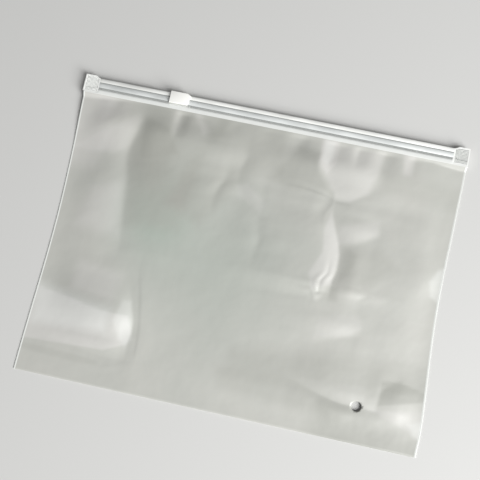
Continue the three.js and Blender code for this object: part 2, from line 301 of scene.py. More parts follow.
long_valley = [(-88, 98), (-91, 120), (-93, 140), (-97, 166), (-93, 182), (-91, 200)]
left_crest = [(-138, 58), (-110, 55), (-90, 52), (-72, 51)]
star_line = [(62, 101), (64, 112), (63, 126), (58, 140), (54, 152)]
creases = [
    # Upper left: a long valley and a slanted ridge
    crease(long_valley, (0.5, 0.9, 1, 1.2, 1.4, 1), (14, 0.8), (16, 0.9), tail=2.0),
    crease([(-138, 168), (-120, 181), (-93, 196)], (0.5, 1, 1), (12, -0.6), (10, 0.0)),
    # Lower left: a crest over a bright slope, a steep bright flank and a fine dark line beside it
    crease(left_crest, (0.3, 1, 1, 0.8), (14, -0.9), (10, -0.15), tail=4.0),
    crease([(-66, 32), (-65, 46), (-70, 62), (-75, 78)], (0.5, 1, 0.5, 0.1), (16, 3.1), (10, 0.0), 0.5, 1.9),
    crease([(-61, 32), (-62, 45), (-66, 66), (-70, 85)], (1, 1, 1, 0.3), (4, 0.0), (2.0, 0.2), 0.4, 4.0),
    crease([(-137, 19), (-100, 17), (-75, 19), (-62, 22)], (1, 1, 1, 0.3), (5, 0.4), (7, 0.1), 0.5),
    # Upper right: a crest, a bright fan below the zip and the star that it runs into
    crease([(47, 163), (39, 176), (38, 200)], (0.2, 1, 1), (12, -0.35), (9, -1.1), 1.0, 3.0),
    crease([(61, 157), (75, 168), (81, 184)], (0.3, 1, 0.8), (14, 0.4), (10, 0.4), 1.0),
    crease([(27, 163), (36, 162), (47, 160), (56, 157)], (0.5, 1, 1, 0.6), (5, 0.0), (2.0, -0.3), 0.3, 1.0),
    crease([(49, 147), (53, 157)], (0.6, 1), (4, -0.4), (4, 0.0), 0.5, 1.0),
    crease(star_line, (1, 1, 1, 0.7, 0.2), (15, 2.2), (13, 1.3), tail=2.6),
    crease([(54, 101), (58, 110)], (1, 0.6), (2.2, 0.35), (2.2, 0.35), 0.3, 1.0),
    crease([(48, 97), (52, 94), (57, 95)], (0.5, 1, 0.3), (2.5, 0.4), (3, 0.2), 0.3, 0.8),
    # Crisp ends of the lobes right of the star and below it
    crease([(84, 133), (89, 144), (84, 152)], (0.4, 1, 0.4), (16, 0.7), (8, 0.2)),
    crease([(64, 130), (76, 133), (88, 139)], (0.6, 1, 0.4), (12, 0.6), (8, 0.2)),
    crease([(82, 93), (87, 98), (82, 103)], (0.4, 1, 0.4), (10, 0.3), (4, 0.1)),
    crease([(83, 66), (88, 76), (83, 84)], (0.4, 1, 0.4), (22, 0.5), (10, 0.2)),
    crease([(56, 61), (70, 65), (86, 70)], (0.4, 1, 0.6), (12, 0.5), (8, 0.3)),
    # Upper middle: a lobe, a wedge, a slanted band and a small hollow
    crease([(-16, 166), (-13, 177), (-14, 186)], (0.6, 1, 0.5), (20, 1.4), (10, 0.5), tail=1.0),
    crease([(-30, 143), (-28, 152), (-24, 162)], (0.5, 1, 0.5), (7, 0.6), (5, 0.3), 0.5),
    crease([(-16, 149), (-5, 144), (6, 138)], (0.5, 1, 0.5), (6, 0.3), (8, 0.8)),
    crease([(5, 112), (7, 122), (4, 133)], (0.4, 1, 0.4), (8, 0.5), (9, 0.5)),
    crease([(12, 88), (32, 89), (53, 90)], (0.3, 1, 0.6), (4, 0.1), (4, 0.12), 0.4, 0.8),
    # Lower right: a long wedge, the crease of the corner and the swollen side
    crease([(44, 34), (62, 29), (82, 24.5), (104, 24)], (0, 0.5, 1, 0.3), (8, 1.4), (9, 1.3), 0.4, 3.2),
    crease([(106, 27), (120, 31), (141, 35)], (0.3, 0.3, 0.9), (8, -0.2), (9, -0.3), 0.6, 3.0),
    crease([(106, 24), (122, 19.5), (141, 14)], (0.5, 0.15, 0.8), (4, 0.2), (8, 0.3), 0.5),
    crease([(107, 27), (109, 38), (117, 47)], (1, 1, 0.3), (6, 0.1), (13, 0.8), 0.6),
    crease([(129, 134), (130, 150), (131, 172)], (0.4, 1, 0.6), (8, 0.3), (5, 0.5)),
]
longest_end = 8.0
shortest_end = 2.0


def curve_through(stations, values, place):
    """The smooth curve through the values at the stations, level past its ends."""
    stations = np.array(stations, float)
    values = np.array(values, float)
    slope = np.gradient(values, stations)
    slope[[0, -1]] = 0
    i = np.clip(np.searchsorted(stations, place) - 1, 0, len(stations) - 2)
    span = stations[i + 1] - stations[i]
    u = np.clip((place - stations[i]) / span, 0, 1)
    start = values[i] * (1 - smooth(u)) + slope[i] * span * u * (1 - u) ** 2
    return start + values[i + 1] * smooth(u) - slope[i + 1] * span * u * u * (1 - u)


def crease_height(one, x, y):
    line, share, before, after, softness, tail = one
    line = np.array(line, float)
    extent = np.abs(line[-1] - line[0])
    runs_up = extent[1] > extent[0]
    stations = line[:, 1 if runs_up else 0]
    offsets = line[:, 0 if runs_up else 1]
    along, across = (y, x) if runs_up else (x, y)
    length = stations[-1] - stations[0]
    slant = (offsets[-1] - offsets[0]) / length
    side = (across - curve_through(stations, offsets, along)) / math.hypot(1, slant)
    reach = np.where(side > 0, after[0], before[0])
    rise = np.where(side > 0, after[1], before[1])
    past = np.maximum(0, np.maximum(stations[0] - along, along - stations[-1]))
    end_reach = min(longest_end, shortest_end + length / 2)
    u = (np.hypot(side, softness) - softness) / reach
    profile = np.where(u < 1, u * np.exp((1 - u * u) / 2), bump((u - 1) / tail))
    return rise * profile * curve_through(stations, share, along) * bump(past / end_reach)


print("Creases:", len(creases))

# %% [markdown]
# The zip is stiff and the film is not, so puckers hang down from the zip, where the film is held shut.
# Each is a short groove that is deepest at the zip, and may lean to one side on its way down.

# %% Puckers below the zip
# Place, lean and length, depth, reach to the left and right
puckers = [
    (-127, -1, 16, 0.5, 7, 5),
    (-112, -2, 10, 0.35, 6, 4),
    (-65, -1, 25, 1.3, 4, 6),
    (-53, 11, 16, 0.6, 3.5, 5),
    (-26, 0, 10, 0.3, 4, 4),
    (-1, 0, 15, 0.45, 6, 9),
    (23, -2, 14, 0.8, 9, 6),
    (49, -4, 22, 0.9, 8, 9),
    (65, -1, 16, 1.0, 4, 8),
    (83, -1, 20, 1.3, 7, 8),
    (103, -1, 14, 0.9, 5, 6),
    (112, 0, 16, 0.3, 5, 8),
]


def pucker_height(pucker, x, y):
    place, lean, length, depth, left, right = pucker
    down = np.maximum(0, mouth_bottom - y) / length
    side = x - place - lean * down
    return -depth * bump(side / np.where(side > 0, right, left)) * bump(down**2)


print("Puckers:", len(puckers))

# %% [markdown]
# The back panel lies on the table and only rises where the zip lifts it. The front panel lies on the
# back one along both sides and the fold, is seated on the zip at the top, and between them carries the
# forms. Each form fades out before it reaches an edge, so that the two panels always meet there.

# %% Heights of the back and the front panel
film_seat = 1.2
weld_thickness = 0.34
loose_gap = 0.5
left_reach = 18.0
right_reach = 16.0
fold_reach = 27.0
ramp_reach = 44.0
seat_reach = 24.0
corner_reach = 4.0
lift_fade_reach = 22.0


def zip_ramp(y):
    return smooth((y - mouth_bottom + ramp_reach) / ramp_reach)


def back_height(x, y):
    return (zip_plane - film_seat) * zip_ramp(y) + 0 * x


def front_height(x, y):
    from_left = np.maximum(0, x - left_side(y))
    from_right = np.maximum(0, right_side(y) - x)
    from_side = np.minimum(from_left, from_right)
    # The right side swells close to its weld in two places
    swell = hill(y, height=6, middle=117, reach=14) + hill(y, height=3, middle=24, reach=10)
    inside = (1 - bump(from_left / left_reach)) * (1 - bump(from_right / (right_reach - swell)))
    corner = smooth((y - mouth_bottom + corner_reach) / corner_reach)
    broad = sum(billow_height(one, x, y) for one in billows)
    broad = broad + sum(crease_height(one, x, y) for one in creases)
    fade = 1 - smooth((y - mouth_bottom + lift_fade_reach) / lift_fade_reach)
    forms = smooth(y / fold_reach) * broad * fade
    lift = loose_gap * fade + np.maximum(0, forms)
    seat = 2 * film_seat
    ramp = np.maximum(zip_ramp(y) * (1 - bump(from_side / seat_reach)), corner)
    gap = weld_thickness + (seat - weld_thickness) * ramp + (1 - corner) * inside * lift
    gap = gap + np.minimum(ramp, 1 - corner) * sum(pucker_height(pucker, x, y) for pucker in puckers)
    return back_height(x, y) + gap


print("Front panel at the middle:", round(float(front_height(0.0, mouth_bottom / 2)), 1), "mm high")

# %% [markdown]
# The bag is one web of film, so it is one grid: its rows run down the front panel, round the bottom
# fold and up the back panel. Rows and columns are closer where the shape is finer, which keeps the mesh
# light elsewhere. The back panel lies nearly flat, so its rows are few, except around the vent hole.

# %% Rows and columns of the web
# Stretches of the web from left to right and from the mouth down, each with its end and step
column_spans = [(-76, 1.6), (-58, 0.9), (44, 1.5), (70, 0.8), (104, 1.4), (128.7, 1.2)]
row_spans = [(184, 1.1), (166, 1.5), (154, 0.8), (114, 1.6), (92, 0.8), (40, 1.5), (12, 1.0), (0.25, 1.3)]
edge_columns = [0.0, 0.3, 0.6, 0.9, 1.3, 2.0, 3.0, 4.3, 5.6, 6.9, 8.2, 9.5, 10.8, 11.1]
weld_overlap = 0.35
row_below_weld = 0.15
fold_radius = 0.25
fold_angles = (45, 90, 135)
hole_place = (half_width - 46.0, 24.5)
hole_radius = 3.4
hole_rows_reach = 5.4
back_rows_below_hole = (6, 13)
back_rows_above_hole = (36, 60, 90, 120, 150)
dense_back_rows = 9


def stations_along(start, spans):
    places = [start]
    for end, step in spans:
        count = round(abs(end - places[-1]) / step)
        places.extend(np.linspace(places[-1], end, count + 1)[1:])
    return np.array(places)


def web_columns():
    """The place of each column, as a share of the way from the middle to the side."""
    middle = stations_along(-column_spans[-1][0], column_spans)
    edge = half_width - np.array(edge_columns)
    return np.concatenate([-edge, middle, edge[::-1]]) / half_width


def web_rows():
    """(panel, y) of each row: panel 1 is the front, -1 the back, and between them the fold."""
    welded = [film_top, (film_top + mouth_bottom) / 2, mouth_bottom, mouth_bottom - weld_overlap]
    front = welded + list(stations_along(welded[-1] - row_below_weld, row_spans))
    fold = [math.cos(math.radians(angle)) for angle in fold_angles]
    ring = np.linspace(hole_place[1] - hole_rows_reach, hole_place[1] + hole_rows_reach, dense_back_rows)
    ramp = np.linspace(mouth_bottom - ramp_reach, mouth_bottom, dense_back_rows)
    back = [fold_radius, *back_rows_below_hole, *ring, *back_rows_above_hole, *ramp, film_top]
    return [(1, y) for y in front] + [(share, None) for share in fold] + [(-1, y) for y in back]


print("The web has", len(web_rows()), "rows and", len(web_columns()), "columns")

# %% [markdown]
# A grid operator makes the rows and columns, and each vertex is then moved to its place on the web. The
# vent hole is cut by taking out the faces inside it and drawing the edge that is left onto a true
# circle, which is neater here than a boolean. Solidify gives the film its thickness, inwards.

# %% Make the web of film
film_thickness = 0.12
crushed_length = 11.0
crushed_film_half = 0.6
hole_clearing = 0.93
hole_rim_search = 1.6


def web_point(panel, y, columns):
    at = fold_radius * (1 - math.sqrt(max(0.0, 1 - panel * panel))) if y is None else y
    y_line = np.full(columns.shape, at)
    x = np.where(columns > 0, right_side(y_line), -left_side(y_line)) * columns
    top = front_height(x, y_line)
    bottom = back_height(x, y_line)
    z = bottom + (top - bottom) * (panel + 1) / 2
    crushed = (np.abs(x) > half_width - crushed_length) & (y_line > mouth_bottom)
    z = np.where(crushed, zip_plane + crushed_film_half * panel, z)
    return np.stack([x, y_line + fold_line, z], axis=1) * MM


def cut_round_hole(shape, centre, radius):
    clear = radius * hole_clearing
    inside = [f for f in shape.faces if (f.calc_center_median().xy - centre).length < clear]
    bmesh.ops.delete(shape, geom=inside, context="FACES")
    for vert in shape.verts:
        spoke = vert.co.xy - centre
        if vert.is_boundary and spoke.length < radius * hole_rim_search:
            vert.co.xy = centre + spoke.normalized() * radius


def add_film_web():
    columns = web_columns()
    rows = web_rows()
    shape = bmesh.new()
    across, down = len(columns) - 1, len(rows) - 1
    bmesh.ops.create_grid(shape, x_segments=across, y_segments=down, size=0.5)
    points = np.array([web_point(panel, y, columns) for panel, y in rows])
    for vert in shape.verts:
        column = round((vert.co.x + 0.5) * across)
        row = round((0.5 - vert.co.y) * down)
        vert.co = points[row, column]
    cut_round_hole(shape, Vector((hole_place[0], hole_place[1] + fold_line)) * MM, hole_radius * MM)
    mesh = bpy.data.meshes.new("film_web")
    shape.to_mesh(mesh)
    shape.free()
    mesh.shade_smooth()
    film = bpy.data.objects.new("film_web", mesh)
    bpy.context.collection.objects.link(film)
    wall = film.modifiers.new("film_wall", "SOLIDIFY")
    wall.thickness = film_thickness * MM
    wall.offset = -1
    return film


film = add_film_web()
print("Film web:", len(film.data.polygons), "faces")

# %% [markdown]
# Frosted film is neither clear nor white. It scatters light, so it looks like grey satin. It is whitened
# where it is welded. Over that, the shading of its folds is painted into its colour: painted shade where
# they turn from the lamp, painted highlights where they face it, and whitened flanks that are painted
# highlights too. Most of these places are patches with an outline, as a painter would mask them, and
# each has a share of the full tint and an edge that may be soft or crisp.

# %% Patches of the film
# Share of the tint, softness of the edge, and outline
patches = {
    # Painted highlights: lighter patches where the folds face the lamp
    "painted_highlight": [
        # The swollen panel at the lower left, the fan, the star and the lobes beside it
        (0.9, 2, [(-141, 59), (-110, 55), (-90, 51), (-70, 51), (-65, 40), (-67, 32), (-82, 25), (-141, 22)]),
        (0.6, 5, [(38, 199), (37, 182), (54, 161), (64, 160), (76, 169), (80, 184), (82, 199)]),
        (0.9, 3, [(49, 95), (62, 101), (64, 122), (58, 138), (53, 151), (50, 138), (52, 122), (45, 106)]),
        (0.5, 5, [(60, 128), (76, 134), (88, 141), (87, 151), (76, 148), (60, 142)]),
        (0.35, 4, [(57, 63), (80, 69), (88, 75), (85, 84), (70, 82), (58, 78)]),
        # The slanted ridge, the lobe in the upper middle, and the left side from the top down
        (0.6, 6, [(-136, 162), (-118, 176), (-95, 192), (-92, 188), (-98, 166), (-108, 162)]),
        (0.2, 5, [(-42, 172), (-20, 184), (-13, 178), (-16, 168), (-36, 164)]),
        (0.7, 16, [(-142, 206), (-142, 146), (-120, 150), (-112, 170), (-118, 206)]),
        (0.7, 12, [(-122, 106), (-90, 104), (-88, 122), (-94, 144), (-116, 134)]),
        (1.0, 4, [(38, 202), (38, 184), (44, 178), (49, 186), (49, 202)]),
        (0.7, 10, [(-114, 62), (-84, 58), (-80, 78), (-112, 82)]),
        # Tongues of light beside the puckers
        (0.5, 3, [(-71, 202), (-66, 202), (-63, 188), (-69, 180)]),
        (0.7, 3, [(-57, 202), (-51, 202), (-42, 190), (-47, 186)]),
        (0.5, 8, [(-127, 202), (-104, 202), (-104, 190), (-122, 184)]),
        (0.7, 4, [(95, 203), (104, 203), (103, 187), (97, 187)]),
        # The slanted band in the upper middle, the corner, and the wedge beside the vent hole
        (0.5, 4, [(-17, 156), (-9, 159), (7, 147), (4, 140), (-14, 150)]),
        (0.5, 3, [(102, 24), (141, 30), (141, 11), (122, 18)]),
        (0.2, 2.5, [(46, 34), (70, 37), (99, 38), (99, 24), (82, 25), (62, 30)]),
    ],
    # Painted highlights on bright flanks; the welds are whitened separately in paint_film
    "weld_white_and_highlight": [
        # Both flanks of the swollen panel, the swollen side, the corner and the edge of the fan
        (0.4, 10, [(-138, 62), (-110, 58), (-82, 54), (-84, 37), (-136, 34)]),
        (0.25, 4, [(-76, 61), (-70, 61), (-64, 36), (-68, 30), (-73, 35), (-79, 46)]),
        (0.35, 4, [(130, 107), (138, 103), (138, 129), (133, 126), (128, 117)]),
        (0.3, 4, [(130, 20), (141, 25), (141, 11), (134, 13)]),
        (0.3, 4, [(39, 201), (39, 186), (43, 183), (47, 190), (46, 201)]),
    ],
    # Painted shade: darker patches where the folds turn from the lamp
    "painted_shade": [
        # The blotch below the zip, and the dark sides of the star and the corner
        (0.5, 8, [(22, 194), (37, 190), (37, 184), (50, 164), (22, 162), (5, 166), (14, 180)]),
        (0.25, 4, [(66, 102), (73, 110), (76, 124), (66, 129)]),
        (0.5, 2, [(108, 28), (141, 37), (139, 42), (120, 46), (108, 44)]),
        # Painted shade right of the long valley, and strips of it along the bottom fold
        (0.4, 12, [(-97, 166), (-90, 206), (-30, 206), (-30, 188), (-46, 180), (-44, 154), (-50, 116),
                   (-90, 112)]),
        (0.6, 20, [(64, -12), (146, -12), (146, 9), (100, 19), (70, 22)]),
        (0.35, 10, [(-4, 31), (50, 33), (98, 20), (60, 14), (0, 17)]),
        (0.25, 3, [(-142, 19), (-100, 18), (-84, 17), (-84, 14), (-100, 13), (-142, 15)]),
        # The foot of the star, the top of the long valley, and the band above the vent hole
        (0.4, 4, [(57, 99), (67, 100), (68, 90), (57, 89)]),
        (0.5, 8, [(-88, 190), (-72, 186), (-62, 170), (-86, 164)]),
        (0.45, 16, [(4, 30), (62, 30), (106, 33), (146, 38), (146, 58), (80, 56), (30, 50), (4, 44)]),
        # The film between the dark upper left and the fan, and right of the star and the fan
        (0.5, 12, [(-34, 206), (14, 206), (12, 172), (-8, 166), (-20, 150), (-36, 122), (-62, 134),
                   (-50, 170)]),
        (0.4, 10, [(70, 98), (86, 104), (106, 120), (92, 132), (70, 128)]),
        (0.35, 10, [(84, 186), (140, 186), (140, 168), (84, 172)]),
    ],
}
print("Patches:", {name: len(group) for name, group in patches.items()})

# %% [markdown]
# The patches are painted onto the film as point attributes, which a material can read and an export
# can keep. A point's share depends on how far it is from the outline, inside or outside. Two broad
# clouds of painted shade have no outline: one beside the long valley, and a greenish one left of the middle.

# %% Paint the film
weld_paint_width = 1.0
weld_paint_margin = 0.05
cloud_lean = 0.24


def patch_share(share, softness, outline, x, y):
    """The share inside an outline, fading away across its edge."""
    inside = np.zeros(x.shape, bool)
    nearest = np.full(x.shape, np.inf)
    for (ax, ay), (bx, by) in zip(outline, outline[1:] + outline[:1]):
        if ay != by:
            inside ^= ((ay > y) != (by > y)) & (x < ax + (y - ay) * (bx - ax) / (by - ay))
        run = np.array((bx - ax, by - ay))
        along = np.clip(((x - ax) * run[0] + (y - ay) * run[1]) / (run @ run), 0, 1)
        nearest = np.minimum(nearest, np.hypot(x - ax - along * run[0], y - ay - along * run[1]))
    return share * smooth(np.where(inside, nearest, -nearest) / softness + 0.5)


def patched(name, x, y):
    return sum(patch_share(*patch, x, y) for patch in patches[name])


def paint(piece, name, shares):
    shares = np.clip(shares, 0, 1)
    attribute = piece.data.attributes.new(name, "FLOAT", "POINT")
    attribute.data.foreach_set("value", shares)
    print("Painted", name, "over", round(100 * float(np.mean(shares > 0.5))), "% of the film's points")


def paint_film(piece):
    points = np.empty(len(piece.data.vertices) * 3)
    piece.data.vertices.foreach_get("co", points)
    x, y = points.reshape(-1, 3)[:, 0] / MM, points.reshape(-1, 3)[:, 1] / MM - fold_line
    from_side = np.minimum(x - left_side(y), right_side(y) - x)
    in_mouth = y > mouth_bottom - weld_overlap - weld_paint_margin
    welded = np.maximum(from_side < weld_paint_width, in_mouth)
    # Two clouds of painted shade: one beside the long valley, and a greenish one left of the middle
    leaning_x = x + (y - 130) * cloud_lean
    painted_valley_shade = hill(leaning_x, height=0.5, middle=-70, reach=17) * hill(y, height=1, middle=165, reach=40)
    shade = hill(x, height=1, middle=-68, reach=24) * hill(y, height=1, middle=128, reach=30)
    shade += hill(x, height=0.5, middle=-20, reach=56) * hill(y, height=1, middle=100, reach=55)
    # Whitened welds with painted highlights, painted shade, painted highlights, and greenish painted shade
    paint(piece, "weld_white_and_highlight", np.maximum(welded, patched("weld_white_and_highlight", x, y)))
    paint(piece, "painted_shade", painted_valley_shade + patched("painted_shade", x, y))
    paint(piece, "painted_highlight", patched("painted_highlight", x, y))
    paint(piece, "greenish_painted_shade", shade)


paint_film(film)

# %% [markdown]
# The film's colour starts as a faint cloudy grey. Each painted attribute then mixes its own tint into
# it. The surface has two bumps, one over the other: a wide one ripples the film, and a very fine one
# frosts it, which blurs the reflections as frosting does.

# %% Finish of the film
# Tints of the painted highlights, the greenish painted shade, the painted shade, and the whitened welds with
# painted highlights
tints = {
    "painted_highlight": screen_colour(202, 201, 197),
    "greenish_painted_shade": screen_colour(171, 180, 171),
    "painted_shade": screen_colour(166, 167, 160),
    "weld_white_and_highlight": screen_colour(228, 230, 227),
}


def tinted(tree, colour, name, tint):
    """Mixes the tint into the colour wherever the film has been painted with that name."""
    share = tree.nodes.new("ShaderNodeAttribute")
    share.attribute_name = name
    mix = tree.nodes.new("ShaderNodeMix")
    mix.data_type = "RGBA"
    mix.inputs["B"].default_value = tint
    tree.links.new(share.outputs["Fac"], mix.inputs["Factor"])
    tree.links.new(colour, mix.inputs["A"])
    return mix.outputs["Result"]


def frosted_film():
    material, tree, shader = new_material("frosted_film", screen_colour(188, 189, 183), 0.36)
    clouds = object_noise(tree, scale=22.0, detail=3.0)
    colour = tint_between(tree, clouds, 0.3, 0.7, screen_colour(186, 187, 181), screen_colour(192, 192, 186))
    for name, tint in tints.items():
        colour = tinted(tree, colour, name, tint)
    tree.links.new(colour, shader.inputs["Base Color"])
    ripples = add_bump(tree, shader, object_noise(tree, scale=55.0), strength=1.0, distance=0.00035)
    fine_noise = object_noise(tree, scale=2600.0, detail=1.0)
    frost = add_bump(tree, shader, fine_noise, strength=0.25, distance=0.00003)
    tree.links.new(ripples.outputs["Normal"], frost.inputs["Normal"])
    return material


film.data.materials.append(frosted_film())
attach(film, "bag")
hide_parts("film_pouch")
print("The film's material has", len(film.data.materials[0].node_tree.nodes), "nodes")

# %% [markdown]
# Each side is closed by a weld, which leaves a bead as wide as a pencil line along the edge. A cube is
# stretched to the bead's length, rounded with a bevel and subdivided. Its points then follow the side.

# %% Make the two welded edges
bead_width = 1.0
bead_proud = 0.06
bead_inset = 0.46
bead_end_gap = 0.2
bead_round = 0.12
bead_steps = 120


def finish_mesh(shape, name, smooth_angle=35.0):
    bmesh.ops.recalc_face_normals(shape, faces=shape.faces)
    mesh = bpy.data.meshes.new(name)
    shape.to_mesh(mesh)
    shape.free()
    mesh.shade_smooth()
    mesh.set_sharp_from_angle(angle=math.radians(smooth_angle))
    piece = bpy.data.objects.new(name, mesh)
    bpy.context.collection.objects.link(piece)
    return piece


def round_edges(shape, edges, width, steps):
    bmesh.ops.bevel(
        shape, geom=edges, offset=width, segments=steps, profile=0.5, affect="EDGES", material=-1
    )


def long_edges(shape):
    return [e for e in shape.edges if abs(e.verts[0].co.y - e.verts[1].co.y) > 1]


def add_bead(name, side, inward):
    length = mouth_bottom - bead_end_gap
    shape = bmesh.new()
    bmesh.ops.create_cube(shape, size=1.0)
    bmesh.ops.scale(shape, verts=shape.verts, vec=(bead_width, length, weld_thickness + bead_proud))
    round_edges(shape, long_edges(shape), bead_round, 2)
    bmesh.ops.subdivide_edges(shape, edges=long_edges(shape), cuts=bead_steps, use_grid_fill=True)
    for vert in shape.verts:
        y = vert.co.y + length / 2
        x = float(side(y)) + inward * bead_width * bead_inset + vert.co.x
        z = float(back_height(x, y)) + weld_thickness / 2 + vert.co.z
        vert.co = Vector((x, y + fold_line, z)) * MM
    return finish_mesh(shape, name)


weld_white, _, _ = new_material("weld_white", screen_colour(220, 222, 218), 0.35)
for bead in (add_bead("left_weld", left_side, 1), add_bead("right_weld", right_side, -1)):
    bead.data.materials.append(weld_white)
    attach(bead, "bag")
    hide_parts("film_pouch")
    print(bead.name, len(bead.data.polygons), "faces")

# %% [markdown]
# The zip is two rails of the same section, one on each panel, which lock together inside. From the top
# down, a rail has a rib for the fingers, the body of the lock and a strip that the film is welded to,
# with grooves between. The section is drawn once, as the real rail's die is, and pushed along the zip.

# %% Sections of the zip, in millimetres
bag_height = (cad_high.y - cad_low.y) / MM
rail_half = 1.5
web_outer = 1.05
web_inner = 0.65
rib_inner = 0.45
strip_inner = 0.75
rail_round = 0.3
rail_bottom = rail_low.y / MM - fold_line
strip_top = rail_bottom + 3.4
lock_bottom = strip_top + 0.8
lock_top = lock_bottom + 3.4
rib_bottom = lock_top + 0.6
rail_top = rib_bottom + 2.8

wall_section = [
    (rail_bottom, strip_inner),
    (strip_top, strip_inner),
    (lock_bottom, web_inner),
    (lock_top, web_inner),
    (rib_bottom, rib_inner),
    (rail_top - rail_round, rib_inner),
    (rail_top, rib_inner + rail_round),
    (rail_top, rail_half - rail_round),
    (rail_top - rail_round, rail_half),
    (rib_bottom + rail_round, rail_half),
    (rib_bottom, rail_half - rail_round),
    (rib_bottom, web_outer),
    (lock_top, web_outer),
    (lock_top, rail_half - rail_round),
    (lock_top - rail_round, rail_half),
    (lock_bottom + rail_round, rail_half),
    (lock_bottom, rail_half - rail_round),
    (lock_bottom, web_outer),
    (strip_top, web_outer),
    (rail_bottom, web_outer),
]

# The hook of the rear rail and the jaws of the front rail, measured from the middle of the lock
lock_middle = (lock_bottom + lock_top) / 2
hook_upper = [(0.25, -0.85), (0.25, 0.06), (0.625, 0.06), (0.25, 0.51)]
hook_section = hook_upper + [(-y, z) for y, z in reversed(hook_upper)]
hook_section = [(lock_middle + y, z) for y, z in hook_section]
jaw_upper = [(0.745, 0.85), (0.745, -0.18), (0.37, -0.18), (0.745, -0.53), (1.095, -0.18), (1.095, 0.85)]
jaw_sections = [[(lock_middle + side * y, z) for y, z in jaw_upper] for side in (1, -1)]


def push_section(shape, section, start, end):
    """A closed bar with the section (y from the fold, z from the zip's middle) between two places."""
    verts = [shape.verts.new((start, y + fold_line, z)) for y, z in section]
    swept = bmesh.ops.extrude_face_region(shape, geom=[shape.faces.new(verts)])["geom"]
    moved = [v for v in swept if isinstance(v, bmesh.types.BMVert)]
    bmesh.ops.translate(shape, verts=moved, vec=(end - start, 0, 0))
    return verts + moved


print("The rail is", round(rail_top - rail_bottom, 1), "mm high and", rail_half, "mm thick")

# %% [markdown]
# A knurled tool presses the ends of the two rails flat together, so that the slider can't run off. The
# last stretch of a rail's wall is flattened down to the crushed end's thickness. The end itself is a
# grid with walls, and a small pit is inset into each of its faces that isn't on the rim.

# %% Helpers for the crushed ends
press_length = 1.6
pit_columns = 12
pit_rows = 13
pit_rim = 0.19
pit_depth = 0.3
end_slope_length = 4.0
hairline = 0.01


def once(items):
    """Each item once, in the order of the list, which a set would not keep from run to run."""
    return list(dict.fromkeys(items))


def edges_at(verts):
    return once(edge for vert in verts for edge in vert.link_edges)


def faces_at(verts):
    return once(face for vert in verts for face in vert.link_faces)


def cut_across(shape, geom, place):
    """Cuts the geometry by a plane across the zip, and gives back all that there is of it then."""
    cut = bmesh.ops.bisect_plane(shape, geom=geom, plane_co=(place, 0, 0), plane_no=(1, 0, 0))
    return [item for item in once([*geom, *cut["geom"]]) if item.is_valid]


def press_wall_ends(shape, verts):
    """Flattens the last of a rail's wall down to the thickness of its crushed end."""
    inner = half_width - crushed_length
    geom = verts + edges_at(verts) + faces_at(verts)
    for place in (press_length - inner, inner - press_length):
        geom = cut_across(shape, geom, place)
    for vert in shape.verts:
        if abs(vert.co.x) > inner - hairline:
            vert.co.z = min(vert.co.z, web_outer)


def add_crushed_end(shape, end):
    """One flat end of a rail, -1 on the left and 1 on the right, with its grid of pits."""
    old = set(shape.verts)
    height = bag_height - rail_bottom
    bmesh.ops.create_grid(shape, x_segments=pit_columns, y_segments=pit_rows, size=0.5)
    verts = [v for v in shape.verts if v not in old]
    faces = faces_at(verts)
    rim = [e for e in edges_at(verts) if e.is_boundary]
    rim_verts = {v for e in rim for v in e.verts}
    bmesh.ops.scale(shape, verts=verts, vec=(crushed_length, height, 1))
    wall = bmesh.ops.extrude_edge_only(shape, edges=rim)["geom"]
    foot = [v for v in wall if isinstance(v, bmesh.types.BMVert)]
    bmesh.ops.translate(shape, verts=foot, vec=(0, 0, -web_outer))
    foot_edges = [e for e in wall if isinstance(e, bmesh.types.BMEdge) and e.is_boundary]
    bmesh.ops.edgeloop_fill(shape, edges=foot_edges)
    pitted = [f for f in faces if not any(v in rim_verts for v in f.verts)]
    bmesh.ops.inset_individual(shape, faces=pitted, thickness=pit_rim, depth=-pit_depth)
    for vert in (v for v in shape.verts if v not in old):
        from_inner = crushed_length / 2 + end * vert.co.x
        fall = (bag_height - rail_top) * (1 - float(smooth(from_inner / end_slope_length)))
        share = vert.co.y / height + 0.5
        vert.co.x += end * (half_width - crushed_length / 2)
        vert.co.y = rail_bottom + fold_line + share * (height - fall)
        vert.co.z += web_outer


print("Each crushed end has", (pit_columns - 2) * (pit_rows - 2), "pits")

# %% [markdown]
# The rails are made of cloudy white plastic. The rib and the welded strip are nearly white, the body of
# the lock is a cooler, clearer grey, and the thin web in the grooves is the darkest: it is the clearest,
# and its dark grey is also painted shade of the grooves. The pit floors of the crushed ends are a little
# greyer, partly because they are pressed thinner and partly as painted shade in the pits. Each face takes
# its finish from its place in the section.

# %% Finishes of the zip
groove_margin = 0.1
facing_out = 0.9


def mottled_plastic(name, base, roughness, scale, stretch, first, second):
    """A cloudy white plastic whose colour drifts between two shades, in streaks along the zip."""
    material, tree, shader = new_material(name, base, roughness)
    mottle = object_noise(tree, scale, 2.0, stretch)
    tint = tint_between(tree, mottle, 0.35, 0.65, first, second)
    tree.links.new(tint, shader.inputs["Base Color"])
    return material


zip_white = mottled_plastic(
    "zip_white", screen_colour(240, 241, 238), roughness=0.32, scale=180.0, stretch=(0.35, 1, 1),
    first=screen_colour(225, 226, 223), second=screen_colour(239, 240, 237)
)
lock_grey = mottled_plastic(
    "lock_grey", screen_colour(208, 212, 212), roughness=0.28, scale=160.0, stretch=(0.3, 1, 1),
    first=screen_colour(205, 208, 207), second=screen_colour(224, 227, 226)
)
# The clear thin web, darkened as painted shade of the grooves
thin_web_shade, _, _ = new_material("thin_web_shade", screen_colour(158, 161, 159), 0.4)
pressed_white, _, _ = new_material("pressed_white", screen_colour(238, 239, 236), 0.4)
